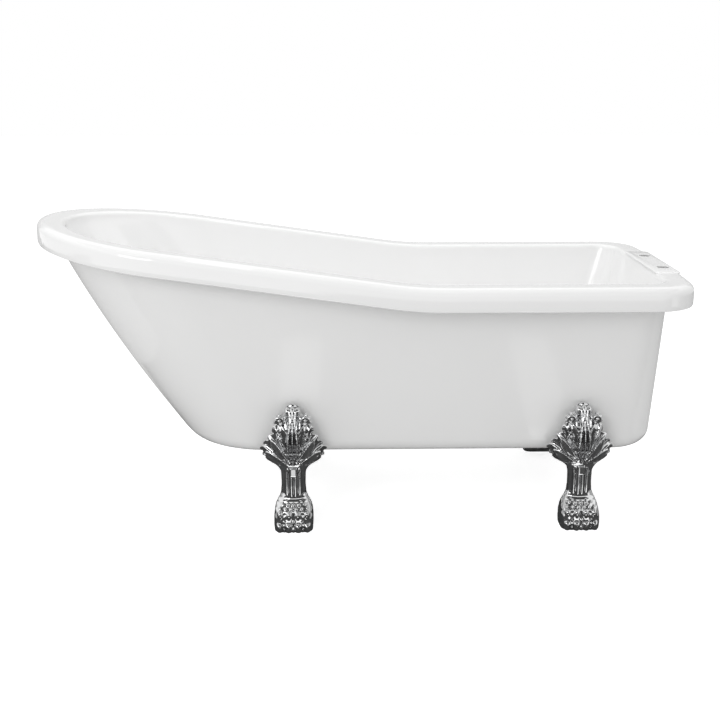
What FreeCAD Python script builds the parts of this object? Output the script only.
"""Double-skinned slipper bath on four claw feet, in millimetres.

X runs along the bath with the tap end at +X, Y runs across it and Z up. The origin is on the
floor under the middle of the bath. The rolled rim is level at the tap end and climbs in a straight
sheer to the slipper end.
"""

import FreeCAD
import Part
import Sketcher

import math
import os
import re

Vector = FreeCAD.Vector

DIMENSIONS = (
    # alias, value, what it is
    ("bath_length", 1700, "over the rolled rim"),
    ("bath_width", 750, "over the rolled rim"),
    ("acrylic", 6, "thickness of the inner tub"),
    ("skin_wall", 5, "thickness of the outer skin"),
    ("band_foot", 589, "height of the rim's lower edge at the tap end"),
    ("rim_height", 59, "from the lower edge to the crown of the rim"),
    ("rim_round", 22, "radius of the rim's outer shoulder"),
    ("rim_inset", 73, "plan width of the rim"),
    ("lip_round", 12, "radius of the rim's inner lip"),
    ("sheer_slope", 0.1388, "rise of the rim per length towards the slipper end"),
    ("slipper_slope", 0.1291, "the same, round the slipper end"),
    ("bend_place", 147, "where the level and the climbing rim would meet"),
    ("bend_radius", 1000, "of the soft bend between them"),
    ("slipper_centre", -475, "X of the centre of the slipper end's half circle"),
    ("corner_radius", 110, "plan radius of the two tap-end corners"),
    ("end_radius", 3900, "plan radius of the bowed tap end"),
    ("basin_floor", 240, "height of the inside floor"),
    ("basin_round", 70, "radius between the floor and the walls"),
    ("basin_half_low", 216, "half width where the walls begin"),
    ("basin_tap_low", 700, "X of the tap-end wall there"),
    ("basin_tip_low", -456, "X of the backrest there"),
    ("basin_corner_low", 92, "plan radius of the wall corners there"),
    ("skin_floor", 185, "height of the skin's underside"),
    ("skin_round", 40, "radius of its lower edge"),
    ("skin_half_low", 253, "half width where its walls begin"),
    ("skin_lean", 0.17633, "outward lean of its walls, tangent of 10 degrees"),
    ("skin_tap_low", 785, "X of its tap-end wall"),
    ("skin_tap_high", 793, "the same, under the rim"),
    ("skin_tip_low", -492, "X of its slipper end, low down"),
    ("skin_tip_high", -823, "the same, under the rim"),
    ("skin_belly", 20, "how far the slipper end bulges past a straight line"),
    ("skin_corner", 104, "plan radius of its tap-end corners, low down"),
    ("skin_corner_high", 88, "the same, under the rim"),
    ("deck_start", 778, "X of the tap deck's inner edge"),
    ("deck_end", 840, "X of its outer edge"),
    ("deck_length", 330, "across the bath"),
    ("deck_top", 649.5, "height of the raised deck"),
    ("tap_centre", 814, "X of the tap holes"),
    ("tap_spacing", 180, "between the tap holes"),
    ("tap_radius", 16, "of a tap hole"),
    ("waste_place", 560, "X of the waste"),
    ("waste_hole", 26, "radius of the hole in the floor"),
    ("waste_slot", 52, "radius of the hole in the skin below it"),
    ("overflow_height", 535, "of the overflow's centre"),
    ("overflow_hole", 20, "radius of its hole"),
    ("board_top", 234, "underside of the tub floor"),
    ("board_thick", 18, "of the base board"),
    ("board_half", 200, "half its width"),
    ("board_start", -330, "X of its slipper end"),
    ("board_end", 650, "X of its tap end"),
    ("board_notch", 130, "width of its notch round the waste"),
    ("board_notch_start", 490, "X where the notch begins"),
    ("bearer_start", -215, "X of the bearers' slipper ends"),
    ("bearer_inner", 140, "inner edge of a bearer"),
    ("foot_slipper", -171, "X of the slipper-end feet"),
    ("foot_tap", 575, "X of the tap-end feet"),
    ("foot_line", 290, "from the centre line to the middle of a foot"),
    ("gasket", 3, "thickness of a foot gasket"),
    ("gasket_low", 234, "lower edge of the gasket behind the leaf"),
    ("gasket_high", 300, "its upper edge"),
    ("gasket_half", 30, "half its width"),
    ("foot_height", 338, "top of the leaf above the floor"),
    ("leaf_width", 166, "across the leaf's lower lobes"),
    ("neck_width", 60, "of the neck, seen from the front"),
    ("paw_width", 92, "of the paw, seen from the front"),
    ("paw_front", 58, "from the foot's middle out to its toes"),
    ("paw_back", 30, "from the foot's middle back to the heel"),
    ("toe_width", 19, "of one toe"),
    ("stem_raise", 9, "how far the leaf's stem stands proud"),
    ("blade_raise", 4, "how far the inner leaf stands proud"),
    ("shelf_top", 182, "height of the shelf that a foot carries the bath on"),
    ("shelf_thick", 8, "its thickness"),
    ("shelf_half", 42, "half its width"),
    ("shelf_reach", 150, "from the foot's middle in under the bath"),
    ("bolt_line", 170, "from the centre line to the foot bolts"),
    ("bolt_radius", 5, "M10"),
    ("bolt_length", 40, "under the head"),
    ("bolt_flats", 17, "across the flats of bolt head and lock nut"),
    ("bolt_head", 6.4, "height of the bolt head"),
    ("bolt_clearance", 0.5, "round the bolt in foot and skin"),
    ("paw_sole", 1, "the paw's sole above the floor"),
    ("stud_radius", 5, "M10"),
    ("stud_place", 12, "from the middle of a foot out to its stud"),
    ("stud_top", 52, "height of a stud's top end"),
    ("stud_clearance", 0.08, "running clearance of a stud in its thread"),
    ("pad_radius", 18, "of a leveller's pad"),
    ("pad_thick", 5, "of a leveller's pad"),
    ("lock_nut", 5, "height of a lock nut"),
    ("recess_radius", 24, "of the recess that takes pad and lock nut"),
    ("recess_top", 14, "height of the recess's ceiling"),
    ("flange_radius", 35, "of the waste's flange"),
    ("flange_thick", 3, "of the flange"),
    ("flange_bore", 21, "radius inside the flange's tube"),
    ("flange_tube", 24.5, "radius outside it"),
    ("flange_drop", 24, "length of the tube below the floor"),
    ("plug_radius", 31, "of the waste plug"),
    ("plug_travel", 8, "down when it is pressed"),
    ("plug_gap", 0.3, "left under the pressed plug's seal"),
    ("plug_seal", 2, "thickness of the plug's seal"),
    ("plug_stem", 4, "radius of the plug's stem"),
    ("stem_end", 229, "height of the stem's lower end"),
    ("stem_clearance", 0.08, "running clearance of the stem"),
    ("cartridge_radius", 9, "of the plug's cartridge"),
    ("cartridge_low", 218, "height of its lower end"),
    ("cartridge_high", 238, "height of its upper end"),
    ("spider_thick", 2.5, "of the three arms that hold the cartridge"),
    ("spider_height", 10, "of those arms"),
    ("seal_thick", 3, "of the seal under the floor"),
    ("body_radius", 34, "of the waste's body"),
    ("body_low", 196, "height of the body's underside"),
    ("outlet_radius", 23.9, "outside the outlet, a G 1 1/2 tail"),
    ("outlet_bore", 20, "radius inside it"),
    ("outlet_low", 130, "height of the outlet's end"),
    ("pipe_radius", 7, "of the overflow pipe"),
    ("pipe_wall", 1.5, "thickness of the overflow pipe"),
    ("pipe_bend", 40, "radius of its bend"),
    ("pipe_height", 213, "of its run under the floor"),
    ("port_radius", 10, "outside the waste's side port"),
    ("port_reach", 62, "from the waste's centre to the port's mouth"),
    ("pipe_entry", 42, "from the waste's centre to the pipe's end in the port"),
    ("cover_radius", 35, "of the overflow's cover"),
    ("cover_dome", 8, "how far the cover stands off the wall"),
    ("head_radius", 24, "of the overflow's head"),
    ("head_depth", 18, "of the head"),
    ("head_wall", 3, "thickness of its walls"),
    ("spigot_reach", 42, "from the head's centre to its socket's mouth"),
    ("overflow_seal", 2.5, "thickness of the seal behind the wall"),
)

document = FreeCAD.newDocument("slipper_bath")
sheet = document.addObject("Spreadsheet::Sheet", "sizes")
for row, (alias, value, meaning) in enumerate(DIMENSIONS, start=1):
    sheet.set(f"A{row}", alias)
    sheet.set(f"B{row}", str(value))
    sheet.setAlias(f"B{row}", alias)
    sheet.set(f"C{row}", meaning)
document.recompute()

WALL_STEPS = 8  # ruled strips up a shell's wall

ALIASES = {alias for alias, value, meaning in DIMENSIONS}
NODES = []


def linked(formula):
    """The formula with each sheet word written as a reference to its cell."""
    return re.sub(r"[a-z_]+", lambda m: f"sizes.{m.group()}" if m.group() in ALIASES else m.group(), str(formula))


def size(formula):
    """The formula's value now, in millimetres."""
    return float(sheet.evalExpression(linked(formula)))


def node(item, label):
    """Keep an object as a named piece of the bath."""
    item.Label = label
    NODES.append(item)
    return item


def shaped(label, shape, place=None):
    """A named piece whose shape is worked out by this file's own functions."""
    item = document.addObject("Part::Feature", label)
    item.Shape = shape
    if place:
        item.Placement = place
    return node(item, label)


# ---------------------------------------------------------------- parametric helpers


def drawn(body, name, points, role="XZ_Plane"):
    """A closed outline on one of the body's own planes, each corner held by two linked sizes."""
    sketch = body.newObject("Sketcher::SketchObject", name)
    plane = next(item for item in body.Origin.OriginFeatures if item.Role == role)
    sketch.AttachmentSupport = [(plane, "")]
    sketch.MapMode = "FlatFace"
    corners = [Vector(size(across), size(up), 0) for across, up in points]
    last = len(corners)
    for index, corner in enumerate(corners):
        sketch.addGeometry(Part.LineSegment(corner, corners[(index + 1) % last]))
    for index in range(last):
        sketch.addConstraint(Sketcher.Constraint("Coincident", index, 2, (index + 1) % last, 1))
    for index, formulas in enumerate(points):
        for kind, formula, axis in zip(("DistanceX", "DistanceY"), formulas, (-2, -1)):
            if size(formula) == 0:
                sketch.addConstraint(Sketcher.Constraint("PointOnObject", index, 1, axis))
                continue
            held = sketch.addConstraint(Sketcher.Constraint(kind, -1, 1, index, 1, size(formula)))
            sketch.setExpression(f"Constraints[{held}]", linked(formula))
    return sketch


def turned(label, points, place=None):
    """A piece turned about its own Z axis from an outline of (radius, height) pairs."""
    body = document.addObject("PartDesign::Body", label)
    sketch = drawn(body, label + "_outline", points)
    spin = body.newObject("PartDesign::Revolution", label + "_turn")
    spin.Profile = sketch
    spin.ReferenceAxis = (sketch, ["V_Axis"])
    spin.Angle = 360
    sketch.Visibility = False
    if place:
        body.Placement = place
    return node(body, label)


def slab(label, points, low, thick):
    """A flat piece cut from sheet: an outline in plan, padded up from a height."""
    body = document.addObject("PartDesign::Body", label)
    sketch = drawn(body, label + "_outline", points, "XY_Plane")
    pad = body.newObject("PartDesign::Pad", label + "_pad")
    pad.Profile = sketch
    pad.setExpression("Length", linked(thick))
    body.setExpression("Placement.Base.z", linked(low))
    return node(body, label)


def drilled(body, name, circles, radius):
    """Round holes right through a slab."""
    sketch = body.newObject("Sketcher::SketchObject", name)
    plane = next(item for item in body.Origin.OriginFeatures if item.Role == "XY_Plane")
    sketch.AttachmentSupport = [(plane, "")]
    sketch.MapMode = "FlatFace"
    for index, (across, along) in enumerate(circles):
        centre = Vector(size(across), size(along), 0)
        sketch.addGeometry(Part.Circle(centre, Vector(0, 0, 1), size(radius)))
        held = sketch.addConstraint(Sketcher.Constraint("Radius", index, size(radius)))
        sketch.setExpression(f"Constraints[{held}]", linked(radius))
        for kind, formula in (("DistanceX", across), ("DistanceY", along)):
            held = sketch.addConstraint(Sketcher.Constraint(kind, -1, 1, index, 3, size(formula)))
            sketch.setExpression(f"Constraints[{held}]", linked(formula))
    document.recompute()
    before = body.Shape.Volume
    pocket = body.newObject("PartDesign::Pocket", name + "_cut")
    pocket.Profile = sketch
    pocket.Type = "ThroughAll"
    pocket.Midplane = True
    document.recompute()
    if body.Shape.Volume > before - 1:
        raise RuntimeError(f"{name} cut nothing")
    return pocket


# ---------------------------------------------------------------- the two moulded shells


def arc(start, middle, end):
    return Part.Arc(start, middle, end).toShape()


def quarter(side, tip, centre):
    """A quarter of an ellipse that leaves the side along X and reaches the tip across X."""
    bow = Part.Arc(Vector(0, 1, 0), Vector(-math.sqrt(0.5), math.sqrt(0.5), 0), Vector(-1, 0, 0))
    reach = centre - tip
    rise = side - centre
    spread = FreeCAD.Matrix(
        reach.x, rise.x, 0, centre.x,
        reach.y, rise.y, 0, centre.y,
        reach.z, rise.z, 1, centre.z,
        0, 0, 0, 1,
    )  # fmt: skip
    return bow.toShape().transformGeometry(spread).Edges[0]


def ring(height, climb, half, tap, corner, centre, tip, tip_height, lean=0.0):
    """One closed line round a shell.

    It is level at a height round the tap end, and along the sides it follows the rim's sheer, scaled
    by climb: 0 is level all the way and 1 is the rim's own. The slipper end is half an ellipse about
    centre whose tip is at its own height. Leaning walls stand further out where the line is higher.
    """
    bow = size("end_radius")
    middle = tap - bow
    across = half - corner
    turn = middle + math.sqrt((bow - corner) ** 2 - across**2)
    meet = math.atan2(across, turn - middle)
    mid = (meet + math.pi / 2) / 2
    slope = math.atan(size("sheer_slope"))
    reach = size("bend_radius") * math.tan(slope / 2)
    place = size("bend_place")

    def point(x, y, rise=0.0, sign=1):
        return Vector(x, sign * (y + lean * rise * climb), height + rise * climb)

    def wall(sign):
        bend_mid = reach - size("bend_radius") * math.sin(slope / 2)
        level = point(place + reach, half, 0, sign)
        bent = point(place + bend_mid, half, size("bend_radius") * (1 - math.cos(slope / 2)), sign)
        climbing = point(place - reach * math.cos(slope), half, reach * math.sin(slope), sign)
        end = point(centre, half, (place - centre) * math.tan(slope), sign)
        hub = Vector(centre, 0, end.z)
        corner_start = point(middle + bow * math.cos(meet), bow * math.sin(meet), 0, sign)
        corner_mid = point(turn + corner * math.cos(mid), across + corner * math.sin(mid), 0, sign)
        corner_end = point(turn, half, 0, sign)
        edges = [
            arc(corner_start, corner_mid, corner_end),
            Part.makeLine(corner_end, level),
            arc(level, bent, climbing) if climb else Part.makeLine(level, climbing),
            Part.makeLine(climbing, end),
            quarter(end, Vector(tip, 0, tip_height), hub),
        ]
        return corner_start, edges

    left_start, left = wall(1)
    right_start, right = wall(-1)
    tap_end = arc(right_start, Vector(tap, 0, height), left_start)
    return Part.Wire(Part.__sortEdges__([tap_end] + left + right))


def rim_ring(inset, lift):
    """A line that runs all round the rim, at a plan inset from its outer face."""
    half = size("bath_width") / 2 - inset
    centre = size("slipper_centre")
    height = size("band_foot") + lift
    climb_end = (size("bend_place") - centre) * size("sheer_slope")
    tip_height = height + climb_end + half * size("slipper_slope")
    corner = size("corner_radius") - 0.73 * inset
    return ring(height, 1, half, size("bath_length") / 2 - inset, corner, centre, centre - half, tip_height)


def blend(low, high, part):
    return low + (high - low) * part


def basin_ring(part, grow):
    """A line round the basin wall, from where the walls begin (0) to the rim's inner lip (1)."""
    low = size("basin_floor + basin_round")
    lip = size("band_foot + rim_height - lip_round")
    inset = size("rim_inset")
    top_half = size("bath_width") / 2 - inset
    half = blend(size("basin_half_low"), top_half, 1 - (1 - part) ** 1.25)
    tap = blend(size("basin_tap_low"), size("bath_length") / 2 - inset, part)
    corner = blend(size("basin_corner_low"), size("corner_radius") - 0.73 * inset, part)
    rise = (size("bend_place - slipper_centre")) * size("sheer_slope") + top_half * size("slipper_slope")
    top_tip = size("slipper_centre") - top_half
    tip = blend(size("basin_tip_low"), top_tip, 1 - (1 - part) ** 1.12)
    height = blend(low, lip, part)
    return ring(height, part, half + grow, tap + grow, corner + grow, tip + half, tip - grow, height + rise * part)


def floor_ring(turn, grow, drop):
    """A line in the rounding between basin wall and floor: turn 0 is the wall, 90 degrees the floor."""
    bend = size("basin_round") + drop
    inset = bend * (1 - math.cos(turn))
    height = size("basin_floor + basin_round") - bend * math.sin(turn)
    half = size("basin_half_low") + grow - inset
    tip = size("basin_tip_low") - grow + inset
    corner = size("basin_corner_low") + grow - 0.75 * inset
    return ring(height, 0, half, size("basin_tap_low") + grow - inset, corner, tip + half, tip, height)


def shoulder(inset, lift, radius, steps):
    """Lines over the rim's rounded outer shoulder, from the crown down to the band."""
    lines = []
    for step in range(steps + 1):
        turn = math.radians(90) * step / steps
        lines.append(rim_ring(inset + radius * (1 - math.sin(turn)), lift - radius * (1 - math.cos(turn))))
    return lines


def overflow_seat():
    """Where the overflow's axis meets the inside of the tap-end wall, and how far that wall leans."""
    low = size("basin_floor + basin_round")
    lip = size("band_foot + rim_height - lip_round")
    height = size("overflow_height")
    lean = math.atan(size("bath_length/2 - rim_inset - basin_tap_low") / (lip - low))
    return Vector(size("basin_tap_low") + (height - low) * math.tan(lean), 0, height), lean


def inner_tub():
    """The moulded tub: basin, rolled rim and tap deck, in one thickness of acrylic."""
    thick = size("acrylic")
    crown = size("rim_height")
    lip = size("lip_round")
    inset = size("rim_inset")
    steep = (math.radians(90), math.radians(45))
    walls = [step / WALL_STEPS for step in range(WALL_STEPS)]
    lines = [floor_ring(turn, 0, 0) for turn in steep]
    lines += [basin_ring(part, 0) for part in walls]
    lines += [rim_ring(inset, crown - lip), rim_ring(inset - lip * 0.3, crown - lip * 0.3)]
    lines += [rim_ring(inset - lip, crown)]
    lines += shoulder(0, crown, size("rim_round"), 3)
    lines += [rim_ring(0, 0), rim_ring(thick, 0)]
    lines += shoulder(thick, crown - thick, size("rim_round") - thick, 1)[::-1]
    lines += [rim_ring(inset - thick, crown - thick)]
    lines += [basin_ring(part, thick) for part in walls[::-1]]
    lines += [floor_ring(turn, thick, thick) for turn in steep[::-1]]
    shell = Part.makeLoft(lines, True, True)

    deep = size("deck_end - deck_start")
    low = size("band_foot + rim_height - acrylic/2")
    pad = Part.makeBox(deep, size("deck_length"), size("deck_top") - low, Vector(size("deck_start"), -size("deck_length") / 2, low))
    upright = [edge for edge in pad.Edges if abs(edge.tangentAt(edge.FirstParameter).z) > 0.9]
    shell = shell.fuse(pad.makeFillet(12, upright))
    for side in (-1, 1):
        mouth = Vector(size("tap_centre"), side * size("tap_spacing") / 2, low - 20)
        shell = shell.cut(Part.makeCylinder(size("tap_radius"), 60, mouth))
    drain = Part.makeCylinder(size("waste_hole"), 60, Vector(size("waste_place"), 0, size("board_top") - 20))
    seat, lean = overflow_seat()
    outward = Vector(math.cos(lean), 0, -math.sin(lean))
    spill = Part.makeCylinder(size("overflow_hole"), 30, seat - outward * 15, outward)
    return shell.cut([drain, spill])


def skin_ring(height, climb, grow):
    """A line round the outer skin; its walls lean out and its slipper end bulges slightly."""
    low = size("skin_floor + skin_round")
    high = size("band_foot + rim_height - acrylic")
    rise = size("bend_place - slipper_centre") * size("sheer_slope")
    rise += (size("slipper_centre - skin_tip_high") + min(grow, 0)) * size("slipper_slope")
    tip_height = height + rise * climb
    part = (height - low) / (high - low)
    tip_part = (tip_height - low) / (high + rise - low)
    half = size("skin_half_low") + size("skin_lean") * (height - low) + grow
    tap = blend(size("skin_tap_low"), size("skin_tap_high"), part) + grow
    belly = size("skin_belly") * 4 * max(tip_part, 0) * (1 - tip_part)
    tip = blend(size("skin_tip_low"), size("skin_tip_high"), tip_part) - belly - grow
    centre = blend(size("skin_tip_low + skin_half_low"), size("slipper_centre"), part)
    corner = blend(size("skin_corner"), size("skin_corner_high"), part)
    return ring(height, climb, half, tap, corner, centre, tip, tip_height, size("skin_lean"))


def skin_base(turn, grow, drop):
    """A line in the rounded lower edge of the skin."""
    bend = size("skin_round") - drop
    low = size("skin_floor + skin_round")
    side_ring_inset = bend * (1 - math.cos(turn)) + size("skin_lean") * bend * math.sin(turn)
    half = size("skin_half_low") + grow - side_ring_inset
    tip = size("skin_tip_low") - grow + side_ring_inset
    tap = size("skin_tap_low") + grow - side_ring_inset
    corner = size("skin_corner") + grow - 0.6 * side_ring_inset
    centre = size("skin_tip_low + skin_half_low")
    height = low - bend * math.sin(turn)
    return ring(height, 0, half, tap, corner, centre, tip, height)


def outer_skin():
    """The skin: one lofted pan, open at the top, that stops against the rim's underside."""
    wall = size("skin_wall")
    low = size("skin_floor + skin_round")
    high = size("band_foot + rim_height - acrylic")
    turns = (math.radians(90), math.radians(45))
    parts = [step / WALL_STEPS for step in range(WALL_STEPS + 1)]
    lines = [skin_base(turn, 0, 0) for turn in turns]
    lines += [skin_ring(blend(low, high, part), part, 0) for part in parts]
    lines += [skin_ring(blend(low, high, part), part, -wall) for part in parts[::-1]]
    lines += [skin_base(turn, -wall, wall) for turn in turns[::-1]]
    pan = Part.makeLoft(lines, True, True)
    floor = Vector(size("waste_place"), 0, size("skin_floor") - 20)
    pan = pan.cut(Part.makeCylinder(size("waste_slot"), 40, floor))
    for foot in ("foot_slipper", "foot_tap"):
        for side in (-1, 1):
            place = Vector(size(foot), side * size("bolt_line"), size("skin_floor") - 20)
            pan = pan.cut(Part.makeCylinder(size("bolt_radius + bolt_clearance"), 40, place))
    return pan




shaped("inner_tub", inner_tub())
shaped("outer_skin", outer_skin())


# ---------------------------------------------------------------- base under the tub


def base():
    """The board under the tub's floor, notched for the waste, and the two bearers below it."""
    notch = "board_notch/2"
    outline = [
        ("board_start", "-board_half"),
        ("board_end", "-board_half"),
        ("board_end", f"-{notch}"),
        ("board_notch_start", f"-{notch}"),
        ("board_notch_start", notch),
        ("board_end", notch),
        ("board_end", "board_half"),
        ("board_start", "board_half"),
    ]
    slab("base_board", outline, "board_top - board_thick", "board_thick")
    for label, side in (("bearer_near", "-1"), ("bearer_far", "1")):
        edges = [f"{side}*bearer_inner", f"{side}*board_half"]
        outline = [(end, edge) for end, edge in zip(("bearer_start", "board_end"), edges)]
        corners = [outline[0], (outline[1][0], edges[0]), outline[1], (outline[0][0], edges[1])]
        low = "skin_floor + skin_wall"
        body = slab(label, corners, low, f"board_top - board_thick - skin_floor - skin_wall")
        spots = [(foot, f"{side}*bolt_line") for foot in ("foot_slipper", "foot_tap")]
        drilled(body, label + "_holes", spots, "bolt_radius")


base()

# ---------------------------------------------------------------- claw feet


def path(points):
    """A closed wire in the YZ or XZ plane: a point with two places is an arc through the first."""
    edges = []
    here = points[-1][-1]
    for step in points:
        there = step[-1]
        edges.append(arc(here, step[0], there) if len(step) > 1 else Part.makeLine(here, there))
        here = there
    return Part.Wire(edges)


def side_view(proud):
    """The foot from the side, front to +Y, extruded across it; proud moves the leaf's face outwards."""
    top = size("foot_height")
    lean = size("skin_lean")
    low = size("skin_floor + skin_round")
    back_low = size("skin_half_low - foot_line + gasket")
    back_top = back_low + lean * (top - low)
    heel = -size("paw_back")
    sole = size("paw_sole")
    half = size("leaf_width")

    def at(y, z):
        return Vector(-half, y, z)

    steps = [
        (at(back_top, top),),
        (at(back_low, low),),
        (at(back_low, 192),),
        (at(-28, 178), at(-23, 160)),
        (at(-21, 96),),
        (at(-24, 82),),
        (at(heel, 60), at(heel, 34)),
        (at(heel, sole),),
        (at(46, sole),),
        (at(44, 30),),
        (at(38, 54), at(20, 74)),
        (at(20, 84),),
        (at(13 + proud / 3, 96),),
        (at(13 + proud / 3, 160),),
        (at(15 + proud, 178), at(22 + proud, 196)),
        (at(27 + proud, 240), at(14 + proud, 300)),
        (at(6 + proud, top),),
    ]
    return Part.Face(path(steps)).extrude(Vector(2 * half, 0, 0))


def front_view(half_steps):
    """A mirrored outline, given up its right half, extruded from back to front."""
    deep = 100

    def at(x, z):
        return Vector(x, -deep, z)

    def flip(place):
        return Vector(-place.x, place.y, place.z)

    right = [tuple(at(*place) for place in step) for step in half_steps]
    left = []
    for before, step in zip(right[-2::-1], right[:0:-1]):
        left.append(tuple(flip(place) for place in step[:-1] + (before[-1],)))
    start = right[0][-1]
    foot_line = [(start,)] if start.x else []
    return Part.Face(path(right[1:] + left + foot_line)).extrude(Vector(0, 2 * deep, 0))


def leaf_outline():
    """Paw, neck and palmette leaf, seen from the front."""
    paw = size("paw_width") / 2
    neck = size("neck_width") / 2
    lobe = size("leaf_width") / 2
    sole = size("paw_sole")
    top = size("foot_height")
    return [
        ((paw, sole),),
        ((paw, 34),),
        ((paw - 2, 60), (38, 78)),
        ((neck, 92),),
        ((neck, 156),),
        ((neck + 6, 172),),
        ((52, 180), (66, 191)),
        ((lobe, 207), (lobe, 225)),
        ((74, 243), (59, 251)),
        ((53, 268), (42, 281)),
        ((46, 297), (34, 309)),
        ((20, 309),),
        ((21, 329), (0, top)),
    ]


def toe(place, fan, back):
    """One toe: tip, joint and knuckle in side view, lofted across with eased flanks."""
    width = size("toe_width")
    sole = size("paw_sole")

    def section(across, ease):
        front = size("paw_front") - ease

        def at(y, z):
            return Vector(across, y, z)

        steps = [
            (at(front - 4, sole),),
            (at(front + 3, 6),),
            (at(front + 4, 15 - ease / 2),),
            (at(front - 2, 24 - ease),),
            (at(front - 7, 26 - ease),),
            (at(front - 5, 40 - ease),),
            (at(front - 11, 50 - ease),),
            (at(front - 34, 66 - ease),),
            (at(0, 66 - ease),),
            (at(0, sole),),
        ]
        return path(steps)

    ease = width / 5
    places = ((-width / 2, ease), (-width / 4, 0), (width / 4, 0), (width / 2, ease))
    shape = Part.makeLoft([section(*where) for where in places], True, True)
    shape.rotate(Vector(0, 0, 0), Vector(0, 0, 1), -fan)
    shape.translate(Vector(place, -back, 0))
    return shape


def claw_foot():
    """A cast foot: toed paw, fluted neck and palmette leaf, with the shelf that carries the bath."""
    sole = size("paw_sole")
    shape = side_view(0).common(front_view(leaf_outline()))

    blade = [((0, 192),), ((30, 200), (57, 226)), ((44, 236),), ((40, 262),), ((28, 270),), ((26, 300),), ((0, 334),)]
    shape = shape.fuse(side_view(size("blade_raise")).common(front_view(blade)))
    stem = [((0, 186),), ((17, 215), (15, 262)), ((9, 320), (0, 332))]
    shape = shape.fuse(side_view(size("stem_raise")).common(front_view(stem)))

    pieces = []
    flutes = []
    for side in (-1, 1):
        centre = Vector(side * 32, -10, 296)
        curl = Part.makeCylinder(11, 33, centre, Vector(0, 1, 0))
        pieces.append(curl.fuse(Part.makeCylinder(5, 37, centre, Vector(0, 1, 0))))
        for place, fan, back in ((13, 3, 0), (33, 11, 7)):
            pieces.append(toe(side * place, side * fan, back))
        flutes.append(Part.makeCylinder(5, 64, Vector(side * 17, 16, 96)))
    pieces.append(Part.makeBox(18, 30, 24, Vector(-9, -12, 144)))

    reach = size("shelf_reach")
    half = size("shelf_half")
    low = size("shelf_top - shelf_thick")
    shelf = Part.makeBox(2 * half, reach - 20, size("shelf_thick"), Vector(-half, -reach, low))
    web = Part.Face(Part.makePolygon([Vector(-5, y, z) for y, z in ((-15, low), (-100, low), (-15, 112), (-15, low))]))
    pieces += [shelf, web.extrude(Vector(10, 0, 0))]
    shape = shape.fuse(pieces)

    stud = Vector(0, size("stud_place"), 0)
    recess = Part.makeCylinder(size("recess_radius"), size("recess_top") - sole, stud + Vector(0, 0, sole))
    thread = Part.makeCylinder(size("stud_radius + stud_clearance"), size("stud_top") + 4, stud)
    bolt = Vector(0, size("bolt_line - foot_line"), low - 5)
    hole = Part.makeCylinder(size("bolt_radius + bolt_clearance"), 30, bolt)
    return shape.cut(flutes + [recess, thread, hole]).removeSplitter()


FEET = {}
for end in ("slipper", "tap"):
    for name, side in (("near", -1), ("far", 1)):
        turn = FreeCAD.Rotation(Vector(0, 0, 1), 180 if side < 0 else 0)
        place = Vector(size("foot_" + end), side * size("foot_line"), 0)
        FEET[f"{name}_{end}"] = FreeCAD.Placement(place, turn)


def gasket():
    """Rubber between foot and skin: one strip behind the leaf, one plate on the shelf."""
    thick = size("gasket")
    lean = size("skin_lean")
    low = size("skin_floor + skin_round")
    half = size("gasket_half")
    face = size("skin_half_low - foot_line")
    ends = [(face + lean * (height - low), height) for height in (size("gasket_low"), size("gasket_high"))]
    strip = [Vector(-half, y, z) for y, z in ends] + [Vector(-half, y + thick, z) for y, z in ends[::-1]]
    behind = Part.Face(Part.makePolygon(strip + [strip[0]])).extrude(Vector(2 * half, 0, 0))
    reach = size("shelf_reach")
    below = Part.makeBox(2 * half, 66, thick, Vector(-half, 4 - reach, size("shelf_top")))
    bolt = Vector(0, size("bolt_line - foot_line"), size("shelf_top") - 5)
    below = below.cut(Part.makeCylinder(size("bolt_radius + bolt_clearance"), 20, bolt))
    return Part.makeCompound([behind, below])


def hexagon(flats, height, bore=0.0):
    """A bolt head or a nut, standing on its own origin."""
    corner = flats / math.sqrt(3)
    corners = [Vector(corner * math.cos(math.radians(60 * step)), corner * math.sin(math.radians(60 * step)), 0) for step in range(7)]
    shape = Part.Face(Part.makePolygon(corners)).extrude(Vector(0, 0, height))
    return shape.cut(Part.makeCylinder(bore, height)) if bore else shape


def foot_bolt():
    """A hexagon bolt that comes up through shelf, gasket and skin into the bearer."""
    head = size("bolt_head")
    shank = Part.makeCylinder(size("bolt_radius"), size("bolt_length"), Vector(0, 0, head))
    shape = hexagon(size("bolt_flats"), head).fuse(shank)
    shape.translate(Vector(0, size("bolt_line - foot_line"), size("shelf_top - shelf_thick") - head))
    return shape


def on_every_foot(shape):
    """Copies of a shape, one at each foot."""
    copies = []
    for place in FEET.values():
        copy = shape.copy()
        copy.Placement = place.multiply(copy.Placement)
        copies.append(copy)
    return Part.makeCompound(copies)


foot = claw_foot()
rubber = gasket()
for name, place in FEET.items():
    shaped("claw_foot_" + name, foot, place)
    shaped("foot_gasket_" + name, rubber, place)
shaped("foot_bolts", on_every_foot(foot_bolt()))

nut = hexagon(size("bolt_flats"), size("lock_nut"), size("stud_radius + stud_clearance"))
nut.translate(Vector(0, size("stud_place"), size("recess_top - lock_nut")))
shaped("leveller_lock_nuts", on_every_foot(nut))

for name, place in FEET.items():
    centre = place.multVec(Vector(0, size("stud_place"), 0))
    pad = document.addObject("Part::Cylinder", "leveller_pad_" + name)
    pad.setExpression("Radius", linked("pad_radius"))
    pad.setExpression("Height", linked("pad_thick"))
    pad.Placement.Base = centre
    node(pad, "leveller_pad_" + name)
    stud = document.addObject("Part::Cylinder", "leveller_stud_" + name)
    stud.setExpression("Radius", linked("stud_radius"))
    stud.setExpression("Height", linked("stud_top - pad_thick"))
    stud.Placement.Base = centre + Vector(0, 0, size("pad_thick"))
    node(stud, "leveller_stud_" + name)

# ---------------------------------------------------------------- waste


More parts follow.
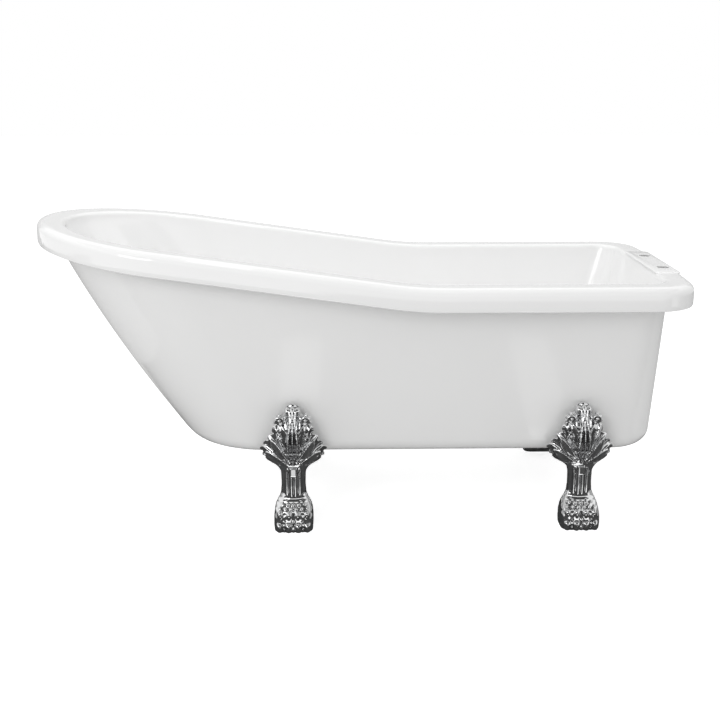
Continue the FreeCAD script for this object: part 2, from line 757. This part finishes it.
def waste():
    """Flange, cartridge, click plug and body, all on one upright axis."""
    axis = FreeCAD.Placement(Vector(size("waste_place"), 0, 0), FreeCAD.Rotation())
    floor = "basin_floor"
    rim = f"{floor} + flange_thick"
    flange = [
        ("flange_bore", f"{floor} - flange_drop"),
        ("flange_tube", f"{floor} - flange_drop"),
        ("flange_tube", floor),
        ("flange_radius", floor),
        ("flange_radius - 1.5", rim),
        ("flange_bore", rim),
    ]
    turned("waste_flange", flange, axis)

    under = f"{rim} + plug_travel + plug_gap"
    disc = f"{under} + plug_seal"
    plug = [
        (0, "stem_end"),
        ("plug_stem", "stem_end"),
        ("plug_stem", disc),
        ("plug_radius", disc),
        ("plug_radius", f"{disc} + 3"),
        ("plug_radius - 6", f"{disc} + 6"),
        (0, f"{disc} + 7"),
    ]
    turned("waste_plug", plug, axis)
    seal = [("plug_radius - 9", under), ("plug_radius - 1", under), ("plug_radius - 1", disc), ("plug_radius - 9", disc)]
    turned("plug_seal", seal, axis)

    top = "board_top - seal_thick"
    washer = [("waste_hole + 0.5", top), ("body_radius", top), ("body_radius", "board_top"), ("waste_hole + 0.5", "board_top")]
    turned("waste_seal", washer, axis)

    tall = size("cartridge_high - cartridge_low")
    low = Vector(size("waste_place"), 0, size("cartridge_low"))
    cartridge = Part.makeCylinder(size("cartridge_radius"), tall, low)
    arm = size("flange_bore")
    for turn in range(3):
        bar = Part.makeBox(arm, size("spider_thick"), size("spider_height"), Vector(0, -size("spider_thick") / 2, 0))
        bar = bar.common(Part.makeCylinder(arm, tall))
        bar.rotate(Vector(), Vector(0, 0, 1), 60 + 120 * turn)
        cartridge = cartridge.fuse(bar.translated(low + Vector(0, 0, 5)))
    socket = Part.makeCylinder(size("plug_stem + stem_clearance"), tall, low + Vector(0, 0, 2))
    shaped("plug_cartridge", cartridge.cut(socket))

    chamber = size("outlet_low")
    tail = Vector(size("waste_place"), 0, chamber)
    shape = Part.makeCylinder(size("outlet_radius"), size("body_low") - chamber, tail)
    cup = Vector(size("waste_place"), 0, size("body_low"))
    shape = shape.fuse(Part.makeCylinder(size("body_radius"), size(top) - size("body_low"), cup))
    port = Vector(size("waste_place"), 0, size("pipe_height"))
    shape = shape.fuse(Part.makeCylinder(size("port_radius"), size("port_reach"), port, Vector(1, 0, 0)))
    shape = shape.cut(Part.makeCylinder(size("pipe_radius"), size("port_reach"), port, Vector(1, 0, 0)))
    shape = shape.cut(Part.makeCylinder(size("outlet_bore"), 200, tail))
    shape = shape.cut(Part.makeCylinder(size("flange_tube"), 100, cup + Vector(0, 0, 4)))
    shaped("waste_body", shape)


waste()

# ---------------------------------------------------------------- overflow


def pipe_to_waste(start, down, lean):
    """The overflow pipe: down along the wall's lean, round one bend and in to the waste's port."""
    under = size("pipe_height")
    corner = start + down * ((start.z - under) / -down.z)
    bend = size("pipe_bend")
    turn = math.pi / 2 - lean
    leg = bend * math.tan(turn / 2)
    hub = corner + Vector(-leg, 0, bend)
    end = size("waste_place + pipe_entry")
    tubes = []
    for radius in (size("pipe_radius"), size("pipe_radius - pipe_wall")):
        fall = Part.makeCylinder(radius, (corner - start).Length - leg, start, down)
        mouth = Part.Face(Part.Wire(Part.makeCircle(radius, corner - down * leg, down)))
        elbow = mouth.revolve(hub, Vector(0, 1, 0), math.degrees(turn))
        run = Part.makeCylinder(radius, corner.x - leg - end, Vector(end, 0, under), Vector(1, 0, 0))
        tubes.append(fall.fuse([elbow, run]))
    return tubes[0].cut(tubes[1])


def overflow():
    """Cover inside the basin, seal and head behind its wall, and the pipe down to the waste."""
    origin, lean = overflow_seat()
    place = FreeCAD.Placement(origin, FreeCAD.Rotation(Vector(0, 1, 0), math.degrees(lean) - 90))
    cover = [
        ("cover_radius - head_wall", 0.4),
        ("cover_radius", 0.4),
        ("cover_radius", "cover_dome - 4"),
        ("cover_radius - 5", "cover_dome"),
        (0, "cover_dome"),
        (0, "cover_dome - head_wall"),
        ("cover_radius - head_wall", "cover_dome - head_wall"),
    ]
    turned("overflow_cover", cover, place)

    wall = size("acrylic") / math.cos(lean)
    outward = Vector(math.cos(lean), 0, -math.sin(lean))
    down = Vector(-math.sin(lean), 0, -math.cos(lean))
    behind = origin + outward * (wall + 0.2)
    rubber = Part.makeCylinder(size("head_radius"), size("overflow_seal"), behind, outward)
    rubber = rubber.cut(Part.makeCylinder(size("overflow_hole"), size("overflow_seal"), behind, outward))
    shaped("overflow_seal", rubber)

    back = behind + outward * size("overflow_seal")
    hollow = size("head_wall")
    head = Part.makeCylinder(size("head_radius"), size("head_depth"), back, outward)
    head = head.fuse(Part.makeCylinder(size("overflow_hole") - 1, size("head_depth"), origin + outward * 2, outward))
    middle = back + outward * (size("head_depth") / 2)
    socket = size("pipe_radius") + 2
    head = head.fuse(Part.makeCylinder(socket, size("spigot_reach"), middle, down))
    inside = size("head_depth") + (back - origin).Length - hollow
    head = head.cut(Part.makeCylinder(size("overflow_hole") - 1 - hollow, inside, origin, outward))
    head = head.cut(Part.makeCylinder(size("pipe_radius"), size("spigot_reach"), middle, down))
    shaped("overflow_head", head)

    shaped("overflow_pipe", pipe_to_waste(middle + down * (size("spigot_reach") - 14), down, lean))


overflow()

# ---------------------------------------------------------------- check and write

document.recompute()
for item in document.Objects:
    if "Invalid" in item.State or "Error" in item.State:
        raise RuntimeError(f"{item.Label} failed: {item.State}")
os.makedirs("parts", exist_ok=True)
for item in NODES:
    if item.Shape.isNull() or not item.Shape.isValid() or not item.Shape.Solids:
        raise RuntimeError(f"{item.Label} has no valid solid")
    item.Shape.exportStep(f"parts/{item.Label}.step")
    print(f"{item.Label}: {len(item.Shape.Solids)} solids, {item.Shape.Volume / 1000:.1f} cm3")
